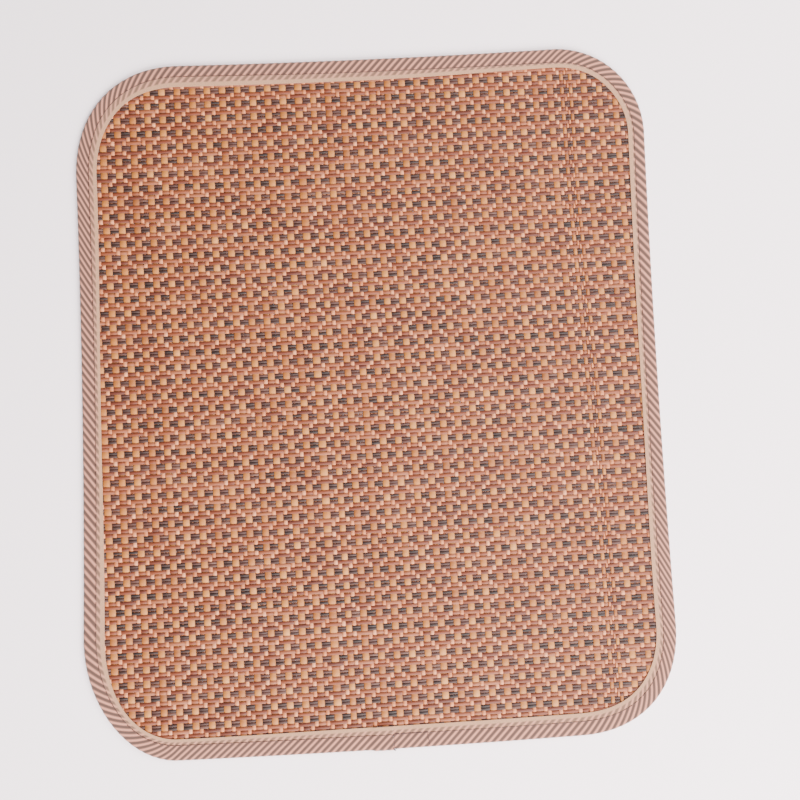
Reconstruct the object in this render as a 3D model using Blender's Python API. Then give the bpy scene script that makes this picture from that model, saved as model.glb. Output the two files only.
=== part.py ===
# Rectangular seat mat of woven bamboo strip with rounded corners and a folded twill tape sewn round the edge
# Metres, Z up, the mat lies flat on z = 0 with its long side along Y

import math

import bmesh
import bpy
from mathutils import Vector

MM = 0.001

# Outline along the outer fold of the tape, anticlockwise from the front edge
# Each edge has a start, a middle and an end, because the sewn edges bow a little and none is quite square
OUTLINE_MM = (
    ("front", (-142.0, -239.3), (-5.0, -240.1), (132.0, -238.7)),
    ("right", (201.2, -166.5), (200.1, 6.2), (202.1, 179.0)),
    ("back", (139.0, 242.9), (5.5, 240.1), (-128.0, 239.9)),
    ("left", (-200.2, 161.5), (-200.0, 3.3), (-204.9, -155.0)),
)

# Fullness of the corner after each edge, where 0.55 is close to a round arc
CORNER_FULLNESS = {"front": 0.61, "right": 0.55, "back": 0.60, "left": 0.53}

# Width of mat that the tape covers on top: start, middle and end of each edge, and the corner after it
TAPE_COVER_MM = {
    "front": (14.2, 15.3, 15.0, 14.4),
    "right": (14.0, 12.2, 11.8, 12.8),
    "back": (13.8, 15.5, 15.5, 14.6),
    "left": (14.3, 12.7, 14.2, 12.2),
}

STEPS_PER_EDGE = 12
STEPS_PER_CORNER = 14

# The tape is folded once round the pressed rim of the panel
TAPE_THICKNESS = 0.6 * MM
RIM_THICKNESS = 1.0 * MM
CLEARANCE = 0.35 * MM
TAPE_UNDER_WIDTH = 12.0 * MM
FOLD_RADIUS = TAPE_THICKNESS + CLEARANCE + RIM_THICKNESS / 2
FOLD_STEPS = 3
STITCH_POSITION = 0.65

# The tape's two ends lap on the front edge: the finishing end lies over the starting end
LAP_UNDER_END_X = -8.0 * MM
LAP_UPPER_END_X = 3.0 * MM
LAP_LIFT = TAPE_THICKNESS + CLEARANCE
LAP_RAMP_LENGTH = 5.0 * MM
LAP_RAMP_STEPS = 4
TRIM_LENGTH = 4.0 * MM
TRIM_STEPS = 5
TRIM_SHARE = 0.9
LEG_SHARE = 0.4
LOWER_STEPS = 5

# The panel's rim is pressed thin inside the tape, the middle of its underside lies on the ground
# and the middle of its top stands a little above the pressed rim
RIM_INSET = 1.5 * MM
RIM_UNDERSIDE_Z = TAPE_THICKNESS + CLEARANCE
PRESSED_WIDTH = 15.8 * MM
PRESSED_RAMP = 4.0 * MM
MIDDLE_RISE = 0.25 * MM

MERGE_DISTANCE = 0.00001
SHARP_ANGLE = math.radians(40.0)

PANEL_COLOUR = (0.50, 0.25, 0.13, 1.0)
PANEL_ROUGHNESS = 0.45
TAPE_COLOUR = (0.43, 0.29, 0.24, 1.0)
TAPE_ROUGHNESS = 0.9


def clear_scene():
    for item in list(bpy.data.objects):
        bpy.data.objects.remove(item, do_unlink=True)


def make_collection(name):
    collection = bpy.data.collections.new(name)
    bpy.context.scene.collection.children.link(collection)
    return collection


def make_material(name, colour, roughness):
    material = bpy.data.materials.new(name)
    material.use_nodes = True
    shader = material.node_tree.nodes["Principled BSDF"]
    shader.inputs["Base Color"].default_value = colour
    shader.inputs["Roughness"].default_value = roughness
    shader.inputs["Metallic"].default_value = 0.0
    material.diffuse_color = colour
    return material


def edge_handle(edge):
    """Control point of the bowed edge that passes through its middle point."""
    start, middle, end = edge
    return 2 * middle - (start + end) / 2


def crossing(point_a, direction_a, point_b, direction_b):
    """Point where two lines in the plane meet."""
    turn = direction_a.cross(direction_b)
    along = (point_b - point_a).cross(direction_b) / turn
    return point_a + along * direction_a


def outline_segments():
    """Four edges and four corners as cubic curves, each with its four control points."""
    edges = [[Vector(point) * MM for point in row[1:]] for row in OUTLINE_MM]
    names = [row[0] for row in OUTLINE_MM]
    segments = []
    for index, edge in enumerate(edges):
        start, _, end = edge
        handle = edge_handle(edge)
        segments.append((start, start.lerp(handle, 2 / 3), end.lerp(handle, 2 / 3), end))
        following = edges[(index + 1) % len(edges)]
        next_start = following[0]
        tip = crossing(end, end - handle, next_start, edge_handle(following) - next_start)
        fullness = CORNER_FULLNESS[names[index]]
        segments.append((end, end.lerp(tip, fullness), next_start.lerp(tip, fullness), next_start))
    return segments


def cubic(points, t):
    """Point and direction on a cubic curve."""
    a, b, c, d = points
    s = 1 - t
    place = s ** 3 * a + 3 * s * s * t * b + 3 * s * t * t * c + t ** 3 * d
    direction = 3 * s * s * (b - a) + 6 * s * t * (c - b) + 3 * t * t * (d - c)
    return place, direction.normalized()


def outline_point(segments, position):
    """Point on the outline and its outward direction; each edge or corner is one unit of position."""
    index = int(math.floor(position)) % len(segments)
    place, direction = cubic(segments[index], position - math.floor(position))
    return place, Vector((direction.y, -direction.x))


def tape_cover(position):
    """Width on top that the tape covers, eased between the widths measured round the mat."""
    knots = []
    for name, *_ in OUTLINE_MM:
        knots.extend(TAPE_COVER_MM[name])
    # Knots lie at the start, middle and end of an edge and at the middle of a corner
    scaled = (position % (2 * len(OUTLINE_MM))) * 2
    index = int(math.floor(scaled))
    ease = (1 - math.cos(math.pi * (scaled - index))) / 2
    here = knots[index % len(knots)]
    there = knots[(index + 1) % len(knots)]
    return (here + (there - here) * ease) * MM


def front_position(segments, x):
    """Position on the front edge at a given x."""
    start, end = segments[0][0], segments[0][3]
    return (x - start.x) / (end.x - start.x)


def regular_positions():
    """Even steps round the outline, more to a corner than to an edge."""
    positions = []
    for index in range(2 * len(OUTLINE_MM)):
        steps = STEPS_PER_EDGE if index % 2 == 0 else STEPS_PER_CORNER
        positions.extend(index + step / steps for step in range(steps))
    return positions


def tape_stations(segments):
    """Positions along the tape from its starting end to its finishing end, with lift and trim."""
    whole = 2 * len(OUTLINE_MM)
    under_end = front_position(segments, LAP_UNDER_END_X)
    upper_end = front_position(segments, LAP_UPPER_END_X)
    trim_start = front_position(segments, LAP_UPPER_END_X + CLEARANCE)
    trim_end = front_position(segments, LAP_UPPER_END_X + CLEARANCE + TRIM_LENGTH)
    ramp_start = front_position(segments, LAP_UNDER_END_X - CLEARANCE - LAP_RAMP_LENGTH)
    ramp_end = front_position(segments, LAP_UNDER_END_X - CLEARANCE)

    stations = [(under_end, 0.0, TRIM_SHARE)]
    for step in range(TRIM_STEPS + 1):
        share = step / TRIM_STEPS
        stations.append((trim_start + (trim_end - trim_start) * share, 0.0, TRIM_SHARE * (1 - share)))
    spacing = 0.3 / STEPS_PER_EDGE
    for position in regular_positions():
        if position > trim_end + spacing:
            stations.append((position, 0.0, 0.0))
    for position in regular_positions():
        if position < ramp_start - spacing:
            stations.append((position + whole, 0.0, 0.0))
    for step in range(LAP_RAMP_STEPS + 1):
        share = step / LAP_RAMP_STEPS
        lift = LAP_LIFT * (1 - math.cos(math.pi * share)) / 2
        stations.append((ramp_start + (ramp_end - ramp_start) * share + whole, lift, 0.0))
    stations.append((upper_end + whole, LAP_LIFT, 0.0))
    return stations


def fold_point(angle, lift, depth):
    """Point on the fold, turning from the ground up to the top, at a depth inside the outer face."""
    radius_in = FOLD_RADIUS + lift - depth
    radius_down = FOLD_RADIUS - depth
    radius_up = FOLD_RADIUS + lift - depth
    height = radius_down if angle <= math.pi / 2 else radius_up
    inward = FOLD_RADIUS - radius_in * math.sin(angle)
    return inward, FOLD_RADIUS - height * math.cos(angle)


def tape_face(cover, lift, trim, depth):
    """One face of the folded tape as (inward, height) points, from the lower edge to the upper edge."""
    points = []
    for step in range(LOWER_STEPS + 1):
        share = trim + (1 - trim) * step / LOWER_STEPS
        if share < LEG_SHARE:
            leg = TAPE_UNDER_WIDTH + (FOLD_RADIUS - TAPE_UNDER_WIDTH) * share / LEG_SHARE
            points.append((leg, depth))
        else:
            angle = math.pi / 2 * (share - LEG_SHARE) / (1 - LEG_SHARE)
            points.append(fold_point(angle, lift, depth))
    for step in range(1, FOLD_STEPS + 1):
        points.append(fold_point(math.pi / 2 * (1 + step / FOLD_STEPS), lift, depth))
    top = 2 * FOLD_RADIUS + lift - depth
    points.append((cover * STITCH_POSITION, top))
    points.append((cover, top))
    return points


def tape_section(cover, lift, trim):
    """Closed section of the tape: the outer face out and the inner face back."""
    outer = tape_face(cover, lift, trim, 0.0)
    inner = tape_face(cover, lift, trim, TAPE_THICKNESS)
    return outer + inner[::-1]


def finish_object(mesh, name, material, collection, shift):
    mesh.materials.clear()
    mesh.materials.append(material)
    mesh.shade_smooth()
    mesh.set_sharp_from_angle(angle=SHARP_ANGLE)
    item = bpy.data.objects.new(name, mesh)
    item.location = shift
    collection.objects.link(item)
    return item


def tape_mesh(segments):
    """Loft of the folded section along the outline, closed with a cap at each end of the tape."""
    shell = bmesh.new()
    rings = []
    for position, lift, trim in tape_stations(segments):
        place, outward = outline_point(segments, position)
        ring = []
        for inward, height in tape_section(tape_cover(position), lift, trim):
            flat = place - outward * inward
            ring.append(shell.verts.new((flat.x, flat.y, height)))
        rings.append(ring)
    for ring, following in zip(rings, rings[1:]):
        for index in range(len(ring)):
            after = (index + 1) % len(ring)
            shell.faces.new((ring[index], ring[after], following[after], following[index]))
    shell.faces.new(rings[0][::-1])
    shell.faces.new(rings[-1])
    bmesh.ops.recalc_face_normals(shell, faces=shell.faces[:])
    mesh = bpy.data.meshes.new("binding_tape")
    shell.to_mesh(mesh)
    shell.free()
    return mesh


def flat_outline_mesh(segments, collection):
    """Filled flat outline of the panel, as thick as its pressed rim."""
    curve = bpy.data.curves.new("panel_outline", "CURVE")
    curve.dimensions = "2D"
    curve.fill_mode = "BOTH"
    curve.extrude = RIM_THICKNESS / 2
    positions = regular_positions()
    spline = curve.splines.new("POLY")
    spline.points.add(len(positions) - 1)
    spline.use_cyclic_u = True
    for point, position in zip(spline.points, positions):
        place, outward = outline_point(segments, position)
        flat = place - outward * RIM_INSET
        point.co = (flat.x, flat.y, 0.0, 1.0)
    guide = bpy.data.objects.new("panel_outline", curve)
    collection.objects.link(guide)
    bpy.context.view_layer.update()
    evaluated = guide.evaluated_get(bpy.context.evaluated_depsgraph_get())
    mesh = bpy.data.meshes.new_from_object(evaluated)
    mesh.name = "woven_panel"
    bpy.data.objects.remove(guide, do_unlink=True)
    return mesh


def panel_mesh(segments, collection):
    """Woven panel: a flat sheet whose rim is pressed thin, mostly from below, inside the tape."""
    mesh = flat_outline_mesh(segments, collection)
    sheet = bmesh.new()
    sheet.from_mesh(mesh)
    bmesh.ops.remove_doubles(sheet, verts=sheet.verts[:], dist=MERGE_DISTANCE)
    bmesh.ops.translate(sheet, verts=sheet.verts[:], vec=(0, 0, RIM_UNDERSIDE_Z + RIM_THICKNESS / 2))
    bmesh.ops.recalc_face_normals(sheet, faces=sheet.faces[:])
    for side, rise in ((-1, RIM_UNDERSIDE_Z), (1, MIDDLE_RISE)):
        level = [face for face in sheet.faces if face.normal.z * side > 0.9]
        bmesh.ops.dissolve_faces(sheet, faces=level)
        middle = max(sheet.faces, key=lambda face: face.normal.z * side)
        for width in (PRESSED_WIDTH, PRESSED_RAMP):
            bmesh.ops.inset_region(sheet, faces=[middle], thickness=width, use_even_offset=True)
        bmesh.ops.translate(sheet, verts=middle.verts[:], vec=(0, 0, rise * side))
    bmesh.ops.recalc_face_normals(sheet, faces=sheet.faces[:])
    sheet.to_mesh(mesh)
    sheet.free()
    return mesh


def box_middle(mesh):
    """Middle of a mesh's box in the plane."""
    xs = [vertex.co.x for vertex in mesh.vertices]
    ys = [vertex.co.y for vertex in mesh.vertices]
    return Vector(((min(xs) + max(xs)) / 2, (min(ys) + max(ys)) / 2, 0.0))


def main():
    clear_scene()
    collection = make_collection("bamboo_seat_mat")
    panel_material = make_material("woven_bamboo", PANEL_COLOUR, PANEL_ROUGHNESS)
    tape_material = make_material("twill_tape", TAPE_COLOUR, TAPE_ROUGHNESS)
    segments = outline_segments()
    tape = tape_mesh(segments)
    shift = -box_middle(tape)
    panel = panel_mesh(segments, collection)
    finish_object(panel, "woven_panel", panel_material, collection, shift)
    finish_object(tape, "binding_tape", tape_material, collection, shift)


main()
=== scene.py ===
import math

import bpy
import numpy as np
from mathutils import Matrix, Vector


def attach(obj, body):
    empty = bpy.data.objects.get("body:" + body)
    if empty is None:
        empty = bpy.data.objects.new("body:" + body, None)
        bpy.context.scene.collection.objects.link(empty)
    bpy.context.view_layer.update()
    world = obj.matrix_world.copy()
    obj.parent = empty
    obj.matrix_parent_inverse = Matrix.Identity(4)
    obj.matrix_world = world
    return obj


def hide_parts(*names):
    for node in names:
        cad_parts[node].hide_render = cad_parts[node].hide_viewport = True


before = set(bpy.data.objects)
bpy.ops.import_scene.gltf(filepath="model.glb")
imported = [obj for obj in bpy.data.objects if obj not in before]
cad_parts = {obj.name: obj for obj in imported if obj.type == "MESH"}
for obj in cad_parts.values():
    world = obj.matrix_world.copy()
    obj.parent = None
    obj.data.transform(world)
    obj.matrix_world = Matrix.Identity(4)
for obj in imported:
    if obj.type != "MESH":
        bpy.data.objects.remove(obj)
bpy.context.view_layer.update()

MM = 0.001
SEED = 4817
SHARP_ANGLE = math.radians(60)

# Outline of the mat along the tape's outer fold, anticlockwise from the front edge, in millimetres
# The points and the corners' fullness were fitted to the edge in the photo and rounded
EDGES_MM = (
    ((-142.0, -239.3), (-5.0, -240.1), (132.0, -238.7)),
    ((201.2, -166.5), (200.1, 6.2), (202.1, 179.0)),
    ((139.0, 242.9), (5.5, 240.1), (-128.0, 239.9)),
    ((-200.2, 161.5), (-200.0, 3.3), (-203.2, -155.0)),
)
CORNER_FULLNESS = (0.61, 0.55, 0.60, 0.53)
MIDDLE_MM = (1.4, -0.92)
SEGMENTS = 8

# Measures round the mat, taken from the photo with the tape unrolled and then rounded
# Each row goes through the start, middle and end of an edge and the middle of the corner after it
COVER_MM = (14.2, 15.3, 15.0, 14.4, 14.0, 12.2, 11.8, 12.8, 13.8, 15.5, 15.5, 14.6, 14.3, 12.7, 14.2, 12.2)
STITCH_MM = (10.3, 10.0, 9.7, 8.9, 9.1, 8.4, 7.7, 9.1, 10.2, 9.7, 8.4, 8.3, 9.0, 9.1, 8.6, 8.3)
STRIPE_END_MM = (12.2, 12.8, 12.4, 12.0, 11.2, 9.9, 8.9, 9.7, 11.3, 12.9, 12.4, 12.2, 11.8, 10.9, 11.2, 10.0)
STRIPE_PITCH_MM = (5.0, 5.0, 5.2, 5.9, 6.3, 6.0, 6.2, 5.6, 5.1, 5.1, 5.2, 5.8, 6.3, 5.9, 6.3, 5.8)
STRIPE_LEAN = (1.2, 1.05, 1.0, 1.5, 2.0, 1.3, 1.0, 1.05, 1.15, 0.95, 0.9, 1.5, 1.95, 1.4, 1.15, 1.25)

# The folded tape: its section runs over the top, round the fold and under the mat
TAPE_THICKNESS = 0.55
TAPE_HEIGHT = 2.85
TAPE_UNDER = 12.0
TAPE_STEP = 1.0
TOP_SHARES = (1.0, 0.93, 0.86, 0.79, 0.72, 0.655, 0.59, 0.52, 0.44, 0.36, 0.28, 0.2)
TOP_SHARE_AT_FOLD = 0.12
FOLD_POINTS = 8
UNDER_SHARES = (0.4, 1.0)
SELVAGE_DROP = 0.3
TWILL_RELIEF = 0.09
RELIEF_FOOT = 0.8
CREAM_CORD = 0.6
LAP_UNDER_X = -8.0
LAP_UPPER_X = 3.0
LAP_LIFT = 0.75
LAP_RAMP = 6.0

# The seam pulls the tape down along its line
STITCH_DIP = 0.22
STITCH_DIP_WIDTH = 1.1
STITCH_LENGTH = 4.9
STITCH_SHOWN = 0.88
STITCH_SINK = 0.1
STITCH_ARCH = 0.22
STITCH_POINTS = 6
SEAM_RADIUS = 0.27

# Sewing at the lap: a second row of stitches, a tack across the tape and a few loose ends
SECOND_START, SECOND_END = 0.5, 24.0
SECOND_LENGTH = 3.9
SECOND_OFFSET = 0.45
SECOND_ARCH = 0.3
TACK_X = 26.0
TACK_DEPTH = 9.3
TACK_REACH = 7.9
TACK_DRIFT = 1.4
TACK_HEIGHT = TAPE_HEIGHT + 0.05
TACK_ARCH = 0.12
LOOSE_ENDS = 12
LOOSE_END_DEPTHS = (-0.6, 0.2, 2.5, 6.0, 9.5)
LOOSE_END_SHORTEST, LOOSE_END_LONGEST = 0.8, 2.0
LOOSE_END_CURL = 1.4
LOOSE_END_ARCH = 0.6
LOOSE_END_ON_TOP = TAPE_HEIGHT + 0.5
LOOSE_END_AT_EDGE = 1.4
LAP_THREAD_RADIUS = 0.17
THREAD_SIDES = 6

# The weave: a repeat is two narrow warps and a broad one, and a dark weft and two red ones
COLUMN_PITCH = 10.602
ROW_PITCH = 9.738
COLUMN_START = 19.88
ROW_START = -1.78
COLUMN_LEAN = -0.0259
ROW_SLOPE = 0.0027
FIRST_COLUMN, LAST_COLUMN = -22, 17
FIRST_ROW, LAST_ROW = -26, 26
NARROW_PAIR = 5.8
# Columns whose place or width is off the even pitch: centre and width of the narrow pair
ODD_COLUMNS = {
    -5: (-32.5, 5.8),
    11: (136.2, 6.0),
    12: (146.3, 5.0),
    13: (153.25, 3.5),
    14: (160.7, 6.2),
    15: (171.5, 6.4),
    16: (182.3, 6.6),
    17: (193.2, 6.4),
}
WARP_GAP = 0.16
# The wefts of a repeat: kind, place down from the row's own line and width; the dark one is two strips
WEFT_ROWS = (("dark", 0.55, 1.9), ("dark", -1.6, 2.1), ("upper_red", -4.1, 2.5), ("lower_red", -6.85, 2.4))
# Sideways drift of the warps at some of the rows
SWAY_ROWS = (-26, -23, -14, 0, 14, 22, 26)
SWAY_MM = (0.7, 0.48, -0.62, 0.74, -0.14, -1.44, -1.9)
ROW_WAVE = 0.3
ROW_WAVE_LENGTH = 70.0
STRIP_THICKNESS = 0.58
STRIP_RISE = 0.42
WEAVE_HEIGHT = 1.1
RIM_LIFT = 0.32
RIM_SPREAD = 28.0
STRIP_END_DEPTH = 5.0

# Hand work: how far a strip strays from its even place, how it wanders and how its width differs
STRAY = 0.1
WARP_WANDER, WARP_WANDER_LENGTH = 0.12, 37.0
WEFT_WANDER, WEFT_WANDER_LENGTH = 0.1, 45.0
WIDTH_SPREAD = 0.02
# Length at each end of a float in which the strip dips under its neighbour
WARP_DIP = 0.75
WEFT_DIP = 0.85
# How the tone differs from strip to strip and from float to float; the narrow warps are paler, partly their
# own pinker tone and partly painted light that the raised narrow strips catch
WARP_TONE_SPREAD, WARP_FLOAT_SPREAD = 0.09, 0.18
WEFT_TONE_SPREAD, WEFT_FLOAT_SPREAD = 0.06, 0.26
NARROW_WARP_PALER_AND_LIT = 0.12
WEFT_NUMBERS_FROM = 500

# The focal length is taken as a phone's, and the camera's place follows from the weave's even repeat
PHOTO_FOCAL = 36.9
CAMERA_PLACE = (0.00171, -0.03772, 0.57030)
CAMERA_VIEW = (0.0316, 0.0581, -0.9978)
CAMERA_UP = (0.0467, 0.9971, 0.0595)

GROUND_HALF_SIDE = 3000.0
GROUND_DROP = 0.05

# Soft lights: name, place, what it points at, size, power and colour
WARM_WHITE = (1.0, 0.985, 0.985)
LIGHTS = (
    ("softbox", (0.24, -0.15, 1.15), (0.1, 0.0, 0.0), (0.6, 0.9), 11.0, (1.0, 1.0, 1.0)),
    ("front_key", (0.5, -1.4, 0.95), (0.0, 0.0, 0.0), (2.0, 1.0), 155.0, WARM_WHITE),
    ("side_fill", (1.3, 0.6, 1.0), (0.0, 0.0, 0.0), (1.0, 1.0), 60.0, WARM_WHITE),
)
ROOM_STRENGTH = 0.4

# Split bamboo strips: tones from dark to light, painted shade at the strip edges where shade falls between
# strips (partly the cut edges' own darker colour), roughness, darkest fibre
STRIP_FINISHES = {
    "tan_bamboo_strip": (("#874a1b", "#9c5b21", "#ab6a2b", "#bc7c40"), 0.8, 0.58, 0.84),
    # The narrow warps' tones are lighter than the broad warps': partly their own pinker tone, partly painted
    # light that the raised narrow strips catch
    "pale_and_lit_bamboo_strip": (("#9c542a", "#ae6236", "#bf7245", "#ce865e"), 0.82, 0.58, 0.86),
    "dark_brown_strip": (("#210c06", "#31150c", "#421f16", "#583529"), 0.75, 0.62, 0.8),
    "red_brown_strip": (("#521e0b", "#662a10", "#773718", "#8f4f2f"), 0.78, 0.6, 0.82),
}


def linear(code):
    """Linear colour of an sRGB hex code."""
    levels = [int(code[i:i + 2], 16) / 255 for i in (1, 3, 5)]
    return tuple(c / 12.92 if c <= 0.04045 else ((c + 0.055) / 1.055) ** 2.4 for c in levels) + (1.0,)


def outline_curves():
    """Control points of the four edges and four corners, one cubic each."""
    edges = [np.array(edge) + np.array(MIDDLE_MM) for edge in EDGES_MM]
    handles = [2 * edge[1] - (edge[0] + edge[2]) / 2 for edge in edges]
    curves = []
    for index, edge in enumerate(edges):
        start, end, handle = edge[0], edge[2], handles[index]
        curves.append((start, start + (handle - start) * 2 / 3, end + (handle - end) * 2 / 3, end))
        after = (index + 1) % len(edges)
        following = edges[after][0]
        slopes = np.array([end - handle, following - handles[after]]).T
        along = np.linalg.solve(slopes, following - end)
        tip = end + along[0] * (end - handle)
        fullness = CORNER_FULLNESS[index]
        leaving = end + (tip - end) * fullness
        arriving = following + (tip - following) * fullness
        curves.append((end, leaving, arriving, following))
    return np.array(curves)


CURVES = outline_curves()


def outline_at(position):
    """Places and outward directions on the outline; each edge or corner is one unit of position."""
    position = np.asarray(position, float)
    index = np.floor(position).astype(int) % SEGMENTS
    t = (position - np.floor(position))[:, None]
    a, b, c, d = (CURVES[index, k] for k in range(4))
    s = 1 - t
    place = s ** 3 * a + 3 * s * s * t * b + 3 * s * t * t * c + t ** 3 * d
    way = 3 * s * s * (b - a) + 6 * s * t * (c - b) + 3 * t * t * (d - c)
    way /= np.linalg.norm(way, axis=1)[:, None]
    return place, np.stack([way[:, 1], -way[:, 0]], axis=1)


def round_mat(table, position):
    """Value from a table of measures round the mat, eased between its sixteen places."""
    table = np.asarray(table, float)
    scaled = (np.asarray(position, float) % SEGMENTS) * 2
    index = np.floor(scaled).astype(int)
    ease = (1 - np.cos(np.pi * (scaled - index))) / 2
    here = table[index % len(table)]
    there = table[(index + 1) % len(table)]
    return here + (there - here) * ease


class Inside:
    """Depth inside the mat's edge, looked up on a fine grid of the plane."""

    SPAN = (-216.0, 216.0, -256.0, 256.0)
    CELL = 2.0

    def __init__(self):
        low_x, high_x, low_y, high_y = self.SPAN
        xs = np.arange(low_x, high_x + self.CELL, self.CELL)
        ys = np.arange(low_y, high_y + self.CELL, self.CELL)
        position = np.linspace(0, SEGMENTS, 481)[:-1]
        place, outward = outline_at(position)
        self.depth = np.empty((len(ys), len(xs)))
        self.past_tape = np.empty_like(self.depth)
        cover = round_mat(COVER_MM, position)
        for row, y in enumerate(ys):
            gap = np.stack([xs[:, None] - place[None, :, 0], y - place[None, :, 1] + 0 * xs[:, None]], axis=2)
            near = np.argmin((gap ** 2).sum(axis=2), axis=1)
            pick = gap[np.arange(len(xs)), near]
            self.depth[row] = -(pick * outward[near]).sum(axis=1)
            self.past_tape[row] = self.depth[row] - cover[near]

    def look(self, grid, x, y):
        u = (np.asarray(x, float) - self.SPAN[0]) / self.CELL
        v = (np.asarray(y, float) - self.SPAN[2]) / self.CELL
        u = np.clip(u, 0, grid.shape[1] - 1.001)
        v = np.clip(v, 0, grid.shape[0] - 1.001)
        i, j = u.astype(int), v.astype(int)
        fu, fv = u - i, v - j
        low = grid[j, i] * (1 - fu) + grid[j, i + 1] * fu
        high = grid[j + 1, i] * (1 - fu) + grid[j + 1, i + 1] * fu
        return low * (1 - fv) + high * fv


def new_object(name, verts, face_groups, material, attributes=None):
    """Mesh object from arrays in millimetres, with float attributes on its points."""
    mesh = bpy.data.meshes.new(name)
    corners = np.concatenate([np.ravel(faces) for faces in face_groups]).astype(np.int32)
    sizes = np.concatenate([np.full(len(faces), np.shape(faces)[1]) for faces in face_groups])
    mesh.vertices.add(len(verts))
    mesh.vertices.foreach_set("co", (np.asarray(verts) * MM).astype(np.float32).ravel())
    mesh.loops.add(len(corners))
    mesh.loops.foreach_set("vertex_index", corners)
    mesh.polygons.add(len(sizes))
    mesh.polygons.foreach_set("loop_start", (np.cumsum(sizes) - sizes).astype(np.int32))
    mesh.materials.append(material)
    mesh.update(calc_edges=True)
    mesh.validate()
    for key, values in (attributes or {}).items():
        layer = mesh.attributes.new(key, "FLOAT", "POINT")
        layer.data.foreach_set("value", np.asarray(values, np.float32))
    mesh.shade_smooth()
    mesh.set_sharp_from_angle(angle=SHARP_ANGLE)
    item = bpy.data.objects.new(name, mesh)
    bpy.context.scene.collection.objects.link(item)
    return item


class MaterialNodes:
    """A material's node tree, with one call that adds a node, its settings and its links."""

    def __init__(self, name):
        self.material = bpy.data.materials.new(name)
        self.material.use_nodes = True
        self.tree = self.material.node_tree
        self.shader = self.tree.nodes["Principled BSDF"]

    def add(self, kind, inputs=None, **settings):
        node = self.tree.nodes.new(kind)
        for key, value in settings.items():
            setattr(node, key, value)
        self.fill(node, inputs or {})
        return node

    def fill(self, node, inputs):
        for key, value in inputs.items():
            if isinstance(value, bpy.types.NodeSocket):
                self.tree.links.new(value, node.inputs[key])
            else:
                node.inputs[key].default_value = value

    def attribute(self, name):
        return self.add("ShaderNodeAttribute", attribute_name=name).outputs["Fac"]

    def math(self, operation, first, second=0.0, third=0.0):
        node = self.add("ShaderNodeMath", {0: first, 1: second, 2: third}, operation=operation)
        return node.outputs[0]

    def ramp(self, factor, stops, smooth=False):
        node = self.add("ShaderNodeValToRGB", {"Fac": factor})
        ramp = node.color_ramp
        ramp.interpolation = "EASE" if smooth else "LINEAR"
        while len(ramp.elements) < len(stops):
            ramp.elements.new(0.5)
        for element, (place, colour) in zip(ramp.elements, stops):
            element.position = place
            element.color = linear(colour) if isinstance(colour, str) else (colour, colour, colour, 1.0)
        return node.outputs["Color"]

    def mix(self, factor, first, second, blend="MIX"):
        node = self.add("ShaderNodeMix", {0: factor, 6: first, 7: second}, data_type="RGBA", blend_type=blend)
        return node.outputs[2]

    def noise(self, vector, scale, detail=2.0, roughness=0.5):
        inputs = {"Vector": vector, "Scale": scale, "Detail": detail, "Roughness": roughness}
        return self.add("ShaderNodeTexNoise", inputs).outputs["Fac"]


def strip_coordinates(tree, across_scale, along_scale):
    """Coordinates that run along a strip, so that grain lies the way the strip was split."""
    across = tree.math("MULTIPLY", tree.attribute("across"), across_scale)
    along = tree.math("MULTIPLY", tree.attribute("along"), along_scale)
    strip = tree.attribute("strip")
    return tree.add("ShaderNodeCombineXYZ", {0: across, 1: along, 2: strip}).outputs[0]


def strip_material(name, tones, painted_edge_shade, rough, grain_depth):
    """Split bamboo strip, dyed and lacquered: fine lengthwise fibres, edges darkened by painted shade between
    strips (partly the cut edges' own darker colour) and a satin coat.
    """
    tree = MaterialNodes(name)
    # Fibres about 0.3 mm wide in streaks about 5 mm long, and blotches about 6 mm long
    fibre = tree.noise(strip_coordinates(tree, 4.0, 0.12), 1.6, 3.0, 0.6)
    blotch = tree.noise(strip_coordinates(tree, 0.4, 0.16), 1.0, 2.0)
    tone = tree.ramp(tree.attribute("shade"), list(zip((0.0, 0.35, 0.65, 1.0), tones)))
    fibre_shade = tree.ramp(fibre, [(0.25, grain_depth), (0.7, 1.0)])
    tone = tree.mix(1.0, tone, fibre_shade, "MULTIPLY")
    tone = tree.mix(1.0, tone, tree.ramp(blotch, [(0.3, 0.9), (0.7, 1.0)]), "MULTIPLY")
    # Painted shade: the strip darkens towards both edges, where shade falls between strips; partly the cut
    # edges' own darker colour
    edge = tree.math("ABSOLUTE", tree.attribute("across"))
    tone = tree.mix(1.0, tone, tree.ramp(edge, [(0.62, 1.0), (1.0, painted_edge_shade)], True), "MULTIPLY")
    roughness = tree.add("ShaderNodeMapRange", {0: fibre, 3: rough - 0.06, 4: rough + 0.1}).outputs[0]
    bump = tree.add("ShaderNodeBump", {"Strength": 0.25, "Distance": 0.00006, "Height": fibre})
    tree.fill(tree.shader, {
        "Base Color": tone,
        "Roughness": roughness,
        "IOR": 1.45,
        "Normal": bump.outputs[0],
    })
    return tree.material


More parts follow.
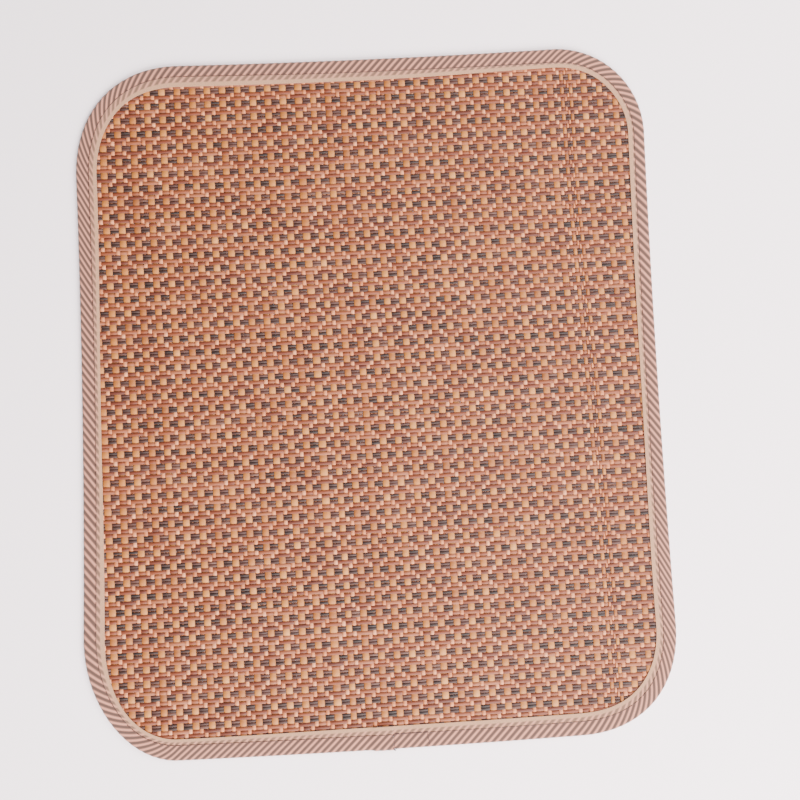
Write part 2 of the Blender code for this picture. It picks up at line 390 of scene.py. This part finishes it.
def tape_material():
    """Cotton twill tape woven with brown and cream yarns: slanting cords, plain beige selvage, matt fuzz."""
    tree = MaterialNodes("twill_tape")
    cord = tree.math("FRACT", tree.attribute("stripe"))
    stripe = tree.ramp(cord, [
        (0.0, "#4a3026"), (0.28, "#4f3429"), (0.42, "#805546"), (0.55, "#b97a64"),
        (0.74, "#b67862"), (0.88, "#724a3c"), (1.0, "#4a3026"),
    ])
    # Yarns about 0.6 mm wide, a little coarser than real ones so that they show
    yarn_place = tree.add("ShaderNodeCombineXYZ", {
        0: tree.math("MULTIPLY", tree.attribute("stripe"), 5.0),
        1: tree.math("MULTIPLY", tree.attribute("depth"), 1.1),
        2: 0.0,
    }).outputs[0]
    yarn = tree.noise(yarn_place, 1.6, 3.0, 0.6)
    plain = tree.ramp(yarn, [(0.25, "#9a7052"), (0.75, "#b08466")])
    # The slanting cords fade out where the plain selvage begins
    selvage = tree.add("ShaderNodeMapRange", {0: tree.attribute("band"), 1: -0.2, 2: 0.5}).outputs[0]
    faint = tree.add("ShaderNodeMapRange", {0: tree.attribute("hem"), 1: -0.3, 2: 0.3, 4: 0.25}).outputs[0]
    colour = tree.mix(faint, stripe, plain)
    colour = tree.mix(selvage, colour, plain)
    colour = tree.mix(1.0, colour, tree.ramp(yarn, [(0.2, 0.84), (0.7, 1.0)]), "MULTIPLY")
    worn = tree.noise(tree.add("ShaderNodeTexCoord").outputs["Object"], 30.0, 2.0)
    colour = tree.mix(1.0, colour, tree.ramp(worn, [(0.3, 0.93), (0.7, 1.0)]), "MULTIPLY")
    bump = tree.add("ShaderNodeBump", {"Strength": 0.5, "Distance": 0.0001, "Height": yarn})
    tree.fill(tree.shader, {
        "Base Color": colour,
        "Roughness": 0.92,
        "IOR": 1.46,
        "Sheen Weight": 0.25,
        "Sheen Roughness": 0.5,
        "Normal": bump.outputs[0],
    })
    return tree.material


def thread_material(name, dark, light):
    """Polyester sewing thread: two plies twisted, with a slight shine."""
    tree = MaterialNodes(name)
    # A turn of the twist about every 0.7 mm
    twist = tree.add("ShaderNodeTexWave", {
        "Vector": tree.add("ShaderNodeTexCoord").outputs["Object"],
        "Scale": 900.0,
        "Distortion": 1.0,
    }, bands_direction="DIAGONAL").outputs["Fac"]
    bump = tree.add("ShaderNodeBump", {"Strength": 0.4, "Distance": 0.00005, "Height": twist})
    tree.fill(tree.shader, {
        "Base Color": tree.ramp(twist, [(0.2, dark), (0.8, light)]),
        "Roughness": 0.6,
        "Normal": bump.outputs[0],
    })
    return tree.material


def weave_columns():
    """Every warp: kind, column number, place across the mat and width."""
    pairs = {}
    for column in range(FIRST_COLUMN, LAST_COLUMN + 1):
        centre, width = ODD_COLUMNS.get(column, (COLUMN_START + COLUMN_PITCH * column, NARROW_PAIR))
        pairs[column] = (centre, width)
    warps = []
    for column, (centre, width) in pairs.items():
        if column - 1 in pairs:
            before_centre, before_width = pairs[column - 1]
            left, right = before_centre + before_width / 2, centre - width / 2
            warps.append(("broad", column, (left + right) / 2, right - left - WARP_GAP))
        warps.append(("left", column, centre - width / 4, width / 2 - WARP_GAP))
        warps.append(("right", column, centre + width / 4, width / 2 - WARP_GAP))
    return warps


def weave_rows():
    """Every weft: kind, row number, place down the mat and width."""
    return [
        (kind, row, ROW_START - ROW_PITCH * row + offset, width)
        for row in range(FIRST_ROW, LAST_ROW + 1)
        for kind, offset, width in WEFT_ROWS
    ]


def weft_on_top(weft, row, warp, column):
    """The weave's chart: whether a weft passes over a warp."""
    if weft == "dark":
        return warp != "broad"
    if warp == "broad":
        return True
    even = (column + row) % 2 == 0
    return even == ((weft == "upper_red") == (warp == "right"))


def sway(y):
    """Sideways drift of the warps down the mat."""
    rows = (ROW_START - y) / ROW_PITCH
    return np.interp(rows, SWAY_ROWS, SWAY_MM)


def weave_place(across, down):
    """Place in the mat's plane of a point given by its warp and weft coordinates."""
    x = across + COLUMN_LEAN * (down - ROW_START) + sway(down)
    y = down + ROW_SLOPE * (across - COLUMN_START) + ROW_WAVE * np.sin(across / ROW_WAVE_LENGTH)
    return x + MIDDLE_MM[0], y + MIDDLE_MM[1]


def strip_runs(crossings, margin):
    """Path points of one strip: two for each run of crossings on the same side."""
    points = []
    run = None
    for low, high, top in crossings:
        if run and run[2] == top:
            run[1] = high
            continue
        if run:
            points.append(run)
        run = [low, high, top]
    points.append(run)
    path = []
    for low, high, top in points:
        inset = min(margin, (high - low) * 0.3)
        path.append((low + inset, top))
        path.append((high - inset, top))
    return path


class Strips:
    """Closed flat strips gathered into one mesh."""

    PROFILE = ((-0.5, -0.5), (-0.4, 0.25), (0.0, 0.5), (0.4, 0.25), (0.5, -0.5))

    def __init__(self, inside):
        self.inside = inside
        self.verts, self.sides, self.ends, self.shade = [], [], [], []
        self.across, self.along, self.strip = [], [], []
        self.count = 0

    def add(self, xs, ys, zs, sideways, width, shades, number):
        """One strip along a path, clipped where it goes deep under the tape."""
        depth = self.inside.look(self.inside.depth, xs, ys)
        keep = np.nonzero(depth > STRIP_END_DEPTH)[0]
        if len(keep) < 2:
            return
        first, last = keep[0], keep[-1]
        path = np.stack([xs, ys, zs, width + 0 * xs], axis=1)
        path[:, 2] += self.rim_lift(xs, ys)
        nodes = list(path[first:last + 1])
        tones = list(shades[first:last + 1])
        if first > 0:
            share = (depth[first] - STRIP_END_DEPTH) / (depth[first] - depth[first - 1])
            nodes.insert(0, path[first] + (path[first - 1] - path[first]) * share)
            tones.insert(0, tones[0])
        if last < len(path) - 1:
            share = (depth[last] - STRIP_END_DEPTH) / (depth[last] - depth[last + 1])
            nodes.append(path[last] + (path[last + 1] - path[last]) * share)
            tones.append(tones[-1])
        nodes = np.array(nodes)
        nodes, width = nodes[:, :3], nodes[:, 3, None, None]
        steps = len(nodes)
        profile = np.array(self.PROFILE)
        side = np.zeros(3)
        side[:2] = sideways
        ring = nodes[:, None, :] + profile[None, :, 0, None] * width * side
        ring[:, :, 2] += profile[None, :, 1] * STRIP_THICKNESS
        length = np.concatenate([[0], np.cumsum(np.linalg.norm(np.diff(nodes, axis=0), axis=1))])
        size = len(profile)
        base = self.count + np.arange(steps)[:, None] * size + np.arange(size)[None, :]
        turned = np.roll(base, -1, axis=1)
        quads = np.stack([base[:-1], turned[:-1], turned[1:], base[1:]], axis=2).reshape(-1, 4)
        ends = np.array([base[0, ::-1], base[-1]])
        if np.cross(side, nodes[-1] - nodes[0])[2] > 0:
            quads, ends = quads[:, ::-1], ends[:, ::-1]
        self.verts.append(ring.reshape(-1, 3))
        self.sides.append(quads)
        self.ends.append(ends)
        self.across.append(np.tile(profile[:, 0] * 2, steps))
        self.along.append(np.repeat(length, size))
        self.shade.append(np.repeat(np.array(tones), size))
        self.strip.append(np.full(steps * size, number * 7.3 % 97))
        self.count += steps * size

    def rim_lift(self, xs, ys):
        """Rise of the weave where it runs up to lie between the two layers of tape."""
        inward = self.inside.look(self.inside.past_tape, xs, ys)
        share = np.clip(1 - inward / RIM_SPREAD, 0, 1)
        return RIM_LIFT * share * share * (3 - 2 * share)

    def build(self, name, material):
        attributes = {
            "across": np.concatenate(self.across),
            "along": np.concatenate(self.along),
            "shade": np.clip(np.concatenate(self.shade), 0, 1),
            "strip": np.concatenate(self.strip),
        }
        faces = [np.concatenate(self.sides), np.concatenate(self.ends)]
        return new_object(name, np.concatenate(self.verts), faces, material, attributes)


def make_weave(inside, tan, pale, dark, red):
    """The woven panel: broad and narrow warps, dark and red wefts."""
    random = np.random.default_rng(SEED)
    columns, rows = weave_columns(), weave_rows()
    broad, narrow, brown, russet = (Strips(inside) for _ in range(4))
    for number, (warp, column, place, width) in enumerate(columns):
        strayed = random.normal(0, STRAY), random.uniform(0, 6)
        crossings = [
            (-(down + breadth / 2), -(down - breadth / 2), not weft_on_top(weft, row, warp, column))
            for weft, row, down, breadth in rows
        ]
        path = strip_runs(crossings, WARP_DIP)
        down = -np.array([point[0] for point in path])
        top = np.array([point[1] for point in path])
        wander = WARP_WANDER * np.sin(down / WARP_WANDER_LENGTH + strayed[1])
        xs, ys = weave_place(place + strayed[0] + wander, down)
        zs = WEAVE_HEIGHT + np.where(top, STRIP_RISE, -STRIP_RISE)
        floats = random.normal(0, WARP_FLOAT_SPREAD, len(path) // 2).repeat(2)
        # Painted light: the narrow warps are made paler because raised narrow strips catch more light; partly
        # their own pinker tone
        paler = 0.0 if warp == "broad" else NARROW_WARP_PALER_AND_LIT
        shades = 0.5 + random.normal(0, WARP_TONE_SPREAD) + floats + paler
        group = broad if warp == "broad" else narrow
        strip_width = width * random.normal(1, WIDTH_SPREAD)
        group.add(xs, ys, zs, (1, 0), strip_width, shades, number)
    for number, (weft, row, place, width) in enumerate(rows):
        strayed = random.normal(0, STRAY), random.uniform(0, 6)
        crossings = [
            (across - breadth / 2, across + breadth / 2, weft_on_top(weft, row, warp, column))
            for warp, column, across, breadth in columns
        ]
        path = strip_runs(crossings, WEFT_DIP)
        across = np.array([point[0] for point in path])
        top = np.array([point[1] for point in path])
        wander = WEFT_WANDER * np.sin(across / WEFT_WANDER_LENGTH + strayed[1])
        xs, ys = weave_place(across, place + strayed[0] + wander)
        zs = WEAVE_HEIGHT + np.where(top, STRIP_RISE, -STRIP_RISE)
        floats = random.normal(0, WEFT_FLOAT_SPREAD, len(path) // 2).repeat(2)
        shades = 0.5 + random.normal(0, WEFT_TONE_SPREAD) + floats
        group = brown if weft == "dark" else russet
        strip_width = width * random.normal(1, WIDTH_SPREAD)
        group.add(xs, ys, zs, (0, 1), strip_width, shades, number + WEFT_NUMBERS_FROM)
    return (
        broad.build("broad_warps", tan),
        narrow.build("narrow_warps", pale),
        brown.build("dark_wefts", dark),
        russet.build("red_wefts", red),
    )


def front_position(x):
    """Position on the front edge at a given x in the outline's own measures."""
    start, end = EDGES_MM[0][0][0], EDGES_MM[0][2][0]
    return (x - start) / (end - start)


def outline_lengths():
    """Fine positions round the outline and the length passed at each."""
    fine = np.linspace(0, SEGMENTS, 8001)
    place, _ = outline_at(fine)
    length = np.concatenate([[0], np.cumsum(np.linalg.norm(np.diff(place, axis=0), axis=1))])
    return fine, length


FINE_POSITION, FINE_LENGTH = outline_lengths()
PERIMETER = FINE_LENGTH[-1]


def length_at(position):
    """Length along the outline from the start of the front edge."""
    position = np.asarray(position, float)
    turns = np.floor(position / SEGMENTS)
    return np.interp(position - turns * SEGMENTS, FINE_POSITION, FINE_LENGTH) + turns * PERIMETER


def position_at(length):
    length = np.asarray(length, float)
    turns = np.floor(length / PERIMETER)
    return np.interp(length - turns * PERIMETER, FINE_LENGTH, FINE_POSITION) + turns * SEGMENTS


def stripe_count():
    """Number of stripes passed along the outline, from the pitch that changes round the mat."""
    steps = np.diff(FINE_LENGTH) / round_mat(STRIPE_PITCH_MM, FINE_POSITION[:-1])
    return np.concatenate([[0], np.cumsum(steps)])


STRIPES = stripe_count()


def stripes_at(position):
    turns = np.floor(position / SEGMENTS)
    return np.interp(position - turns * SEGMENTS, FINE_POSITION, STRIPES) + turns * STRIPES[-1]


def lap_lift(position):
    """Rise of the tape's finishing end where it lies over the starting end."""
    over = (length_at(position) - length_at(front_position(LAP_UNDER_X) + SEGMENTS) + LAP_RAMP) / LAP_RAMP
    over = np.clip(over, 0, 1)
    return LAP_LIFT * (1 - np.cos(np.pi * over)) / 2


def top_height(position, depth):
    """Height of the tape's top face at a depth inside the edge, sunk at the seam and low at the selvage."""
    stitch = round_mat(STITCH_MM, position)
    cover = round_mat(COVER_MM, position)
    dip = STITCH_DIP * np.exp(-((depth - stitch) / STITCH_DIP_WIDTH) ** 2)
    drop = SELVAGE_DROP * np.clip((depth - stitch) / (cover - stitch), 0, 1)
    return TAPE_HEIGHT - dip - drop


def tape_outer(position, lift):
    """Outer face of the folded tape at each station: inward place, height and distance over the cloth."""
    radius = TAPE_HEIGHT / 2
    cover = round_mat(COVER_MM, position)
    inward, height, depth = [], [], []
    for share in TOP_SHARES:
        place = radius + (cover - radius) * (share - TOP_SHARE_AT_FOLD) / (1 - TOP_SHARE_AT_FOLD)
        inward.append(place)
        height.append(top_height(position, place) + lift)
        depth.append(place)
    for turn in np.linspace(0, 1, FOLD_POINTS):
        angle = math.pi * turn
        rise = radius + lift if angle < math.pi / 2 else radius
        inward.append(radius - (radius + lift) * math.sin(angle))
        height.append(radius + rise * math.cos(angle) + 0 * cover)
        depth.append(radius * (1 - angle) + 0 * cover)
    for share in UNDER_SHARES:
        inward.append(radius + (TAPE_UNDER - radius) * share + 0 * cover)
        height.append(0 * cover)
        depth.append(radius * (1 - math.pi) - (TAPE_UNDER - radius) * share + 0 * cover)
    return np.array(inward).T, np.array(height).T, np.array(depth).T


def face_normals(inward, height):
    """Outward direction of the section at each of its points."""
    along_in = np.gradient(inward, axis=1)
    along_up = np.gradient(height, axis=1)
    size = np.hypot(along_in, along_up)
    return along_up / size, -along_in / size


def make_tape(material):
    """Twill tape folded round the edge, with its slanting cords standing a little proud."""
    start = front_position(LAP_UNDER_X)
    finish = front_position(LAP_UPPER_X) + SEGMENTS
    first, last = length_at(start), length_at(finish)
    count = int((last - first) / TAPE_STEP)
    position = position_at(np.linspace(first, last, count))
    lift = lap_lift(position)
    inward, height, depth = tape_outer(position, lift)
    in_way, up_way = face_normals(inward, height)
    lean = round_mat(STRIPE_LEAN, position) / round_mat(STRIPE_PITCH_MM, position)
    stripe = stripes_at(position)[:, None] - depth * lean[:, None]
    band = depth - round_mat(STRIPE_END_MM, position)[:, None]
    hem = depth - round_mat(STITCH_MM, position)[:, None]
    # The cream cords stand proud; the relief fades out at the selvage and towards the ground
    fade = np.clip(0.5 - band, 0, 1) * np.clip(height / RELIEF_FOOT, 0, 1)
    proud = TWILL_RELIEF * np.cos(2 * np.pi * (stripe - CREAM_CORD)) * fade
    outer_up = height + proud * np.clip(up_way, 0, 1)
    outer_in = inward - proud * np.clip(-in_way, 0, 1)
    inner_up = height - TAPE_THICKNESS * up_way
    inner_in = inward - TAPE_THICKNESS * in_way
    # The inner face needs only every second point; it runs back from the lower edge to the upper one
    pick = list(range(0, inward.shape[1], 2)) + [inward.shape[1] - 1]
    back = pick[::-1]
    ring_in = np.concatenate([outer_in, inner_in[:, back]], axis=1)
    ring_up = np.maximum(np.concatenate([outer_up, inner_up[:, back]], axis=1), 0.0)
    place, outward = outline_at(position)
    verts = np.empty(ring_in.shape + (3,))
    verts[:, :, :2] = place[:, None, :] - outward[:, None, :] * ring_in[:, :, None]
    verts[:, :, 2] = ring_up
    measures = {"stripe": stripe, "depth": depth, "band": band, "hem": hem}
    values = {
        key: np.concatenate([outer, outer[:, back]], axis=1).ravel()
        for key, outer in measures.items()
    }
    steps, size = ring_in.shape
    base = np.arange(steps)[:, None] * size + np.arange(size)[None, :]
    turned = np.roll(base, -1, axis=1)
    quads = np.stack([base[:-1], base[1:], turned[1:], turned[:-1]], axis=2).reshape(-1, 4)
    # Each end is closed by a row of quads between the outer and the inner face
    caps = []
    for ring, flip in ((base[0], False), (base[-1], True)):
        for k in range(len(pick) - 1):
            quad = [ring[pick[k]], ring[pick[k + 1]], ring[size - 2 - k], ring[size - 1 - k]]
            caps.append(quad[::-1] if flip else quad)
    return new_object("folded_tape", verts.reshape(-1, 3), [quads, np.array(caps)], material, values)


def thread_mesh(name, paths, radius, material):
    """Round threads along short paths, all joined in one mesh."""
    verts, faces = [], []
    count = 0
    angles = np.arange(THREAD_SIDES) * 2 * np.pi / THREAD_SIDES
    for path in paths:
        path = np.asarray(path, float)
        way = np.gradient(path, axis=0)
        way /= np.linalg.norm(way, axis=1)[:, None]
        side = np.cross(way, (0.0, 0.0, 1.0))
        side /= np.linalg.norm(side, axis=1)[:, None]
        up = np.cross(side, way)
        ring = path[:, None, :] + radius * (
            np.cos(angles)[None, :, None] * side[:, None, :] + np.sin(angles)[None, :, None] * up[:, None, :]
        )
        steps = len(path)
        base = count + np.arange(steps)[:, None] * THREAD_SIDES + np.arange(THREAD_SIDES)[None, :]
        turned = np.roll(base, -1, axis=1)
        faces.append(np.stack([base[:-1], base[1:], turned[1:], turned[:-1]], axis=2).reshape(-1, 4))
        for end, flip in ((base[0], False), (base[-1], True)):
            caps = end[[[0, 1, 2, 3], [0, 3, 4, 5]]]
            faces.append(caps[:, ::-1] if flip else caps)
        verts.append(ring.reshape(-1, 3))
        count += steps * THREAD_SIDES
    return new_object(name, np.concatenate(verts), faces, material)


def stitch_paths(first, last, length, side, arch):
    """Lockstitches between two lengths along the outline, each a short arc of thread."""
    paths = []
    count = int((last - first) / length)
    shares = np.linspace(0, 1, STITCH_POINTS)
    arc = arch * np.sin(np.pi * shares) ** 0.5 - STITCH_SINK
    for number in range(count):
        along = first + length * (number + (1 - STITCH_SHOWN) / 2 + STITCH_SHOWN * shares)
        position = position_at(along)
        depth = round_mat(STITCH_MM, position) + side
        place, outward = outline_at(position)
        height = top_height(position, depth) + lap_lift(position) + arc
        flat = place - outward * depth[:, None]
        paths.append(np.column_stack([flat, height]))
    return paths


def tack_path():
    """A single thread across the tape's width, where the sewing began."""
    place, outward = outline_at([front_position(TACK_X)])
    path = []
    for share in np.linspace(0, 1, 7):
        depth = TACK_DEPTH - TACK_REACH * share
        flat = place[0] - outward[0] * depth + np.array([TACK_DRIFT * share, 0])
        path.append((flat[0], flat[1], TACK_HEIGHT + TACK_ARCH * math.sin(math.pi * share)))
    return path


def loose_ends():
    """Short curled thread ends beside the lap."""
    random = np.random.default_rng(SEED + 1)
    end_place, end_out = outline_at([front_position(LAP_UPPER_X)])
    paths = []
    for _ in range(LOOSE_ENDS):
        depth = random.choice(LOOSE_END_DEPTHS)
        start_point = end_place[0] - end_out[0] * depth + random.uniform(-0.5, 0.5, 2)
        turn = random.uniform(0, 2 * math.pi)
        reach = random.uniform(LOOSE_END_SHORTEST, LOOSE_END_LONGEST)
        low = LOOSE_END_AT_EDGE if depth < 0 else LOOSE_END_ON_TOP
        path = []
        for share in np.linspace(0, 1, 5):
            bend = turn + LOOSE_END_CURL * share
            flat = start_point + reach * share * np.array([math.cos(bend), math.sin(bend)])
            path.append((flat[0], flat[1], low + LOOSE_END_ARCH * math.sin(math.pi * share)))
        paths.append(path)
    return paths


def make_stitching(thread, dark_thread):
    """The seam round the tape, doubled for a few stitches past the lap, with its tack and loose ends."""
    start = float(length_at(front_position(LAP_UPPER_X)))
    seam = stitch_paths(start, start + PERIMETER, STITCH_LENGTH, 0.0, STITCH_ARCH)
    seam_piece = thread_mesh("seam_stitches", seam, SEAM_RADIUS, thread)
    second = stitch_paths(start + SECOND_START, start + SECOND_END, SECOND_LENGTH, SECOND_OFFSET, SECOND_ARCH)
    lap_paths = second + [tack_path()] + loose_ends()
    return seam_piece, thread_mesh("lap_threads", lap_paths, LAP_THREAD_RADIUS, dark_thread)


def make_floor():
    """Plain pale ground."""
    signs = np.array([(-1, -1, 0), (1, -1, 0), (1, 1, 0), (-1, 1, 0)], float)
    verts = signs * GROUND_HALF_SIDE - (0, 0, GROUND_DROP)
    tree = MaterialNodes("pale_ground")
    tree.fill(tree.shader, {"Base Color": linear("#fbedf0"), "Roughness": 0.9, "IOR": 1.45})
    floor = new_object("ground", verts, [[(0, 1, 2, 3)]], tree.material)


def make_light(name, place, target, size, power, colour):
    """One soft rectangular light."""
    light = bpy.data.lights.new(name, "AREA")
    light.shape = "RECTANGLE"
    light.size, light.size_y = size
    light.energy = power
    light.color = colour
    item = bpy.data.objects.new(name, light)
    item.location = place
    item.rotation_euler = (Vector(target) - Vector(place)).to_track_quat("-Z", "Y").to_euler()
    bpy.context.scene.collection.objects.link(item)


def make_camera():
    """Camera where the photo was taken from, nearly straight above the mat."""
    camera = bpy.data.cameras.new("camera")
    camera.sensor_width = 36.0
    camera.lens = PHOTO_FOCAL
    camera.clip_start = 0.01
    item = bpy.data.objects.new("camera", camera)
    back = -Vector(CAMERA_VIEW).normalized()
    right = Vector(CAMERA_UP).cross(back).normalized()
    up = back.cross(right)
    turn = Matrix((right, up, back)).transposed()
    item.matrix_world = Matrix.Translation(CAMERA_PLACE) @ turn.to_4x4()
    bpy.context.scene.collection.objects.link(item)
    bpy.context.scene.camera = item


def make_world():
    """Even light from a pale room."""
    world = bpy.data.worlds.new("soft_room")
    world.use_nodes = True
    background = world.node_tree.nodes["Background"]
    background.inputs["Color"].default_value = (*WARM_WHITE, 1.0)
    background.inputs["Strength"].default_value = ROOM_STRENGTH
    bpy.context.scene.world = world


def main():
    tan, pale, dark, red = (strip_material(name, *finish) for name, finish in STRIP_FINISHES.items())
    weave = make_weave(Inside(), tan, pale, dark, red)
    tape = make_tape(tape_material())
    thread = thread_material("brown_thread", "#2e130c", "#4a261a")
    dark_thread = thread_material("dark_thread", "#2b1213", "#4c2a28")
    seam, lap = make_stitching(thread, dark_thread)
    for piece in (*weave, tape, seam, lap):
        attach(piece, "root")
    for piece in weave:
        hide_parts("woven_panel")
    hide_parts("binding_tape")
    make_floor()
    for light in LIGHTS:
        make_light(*light)
    make_world()
    make_camera()


main()
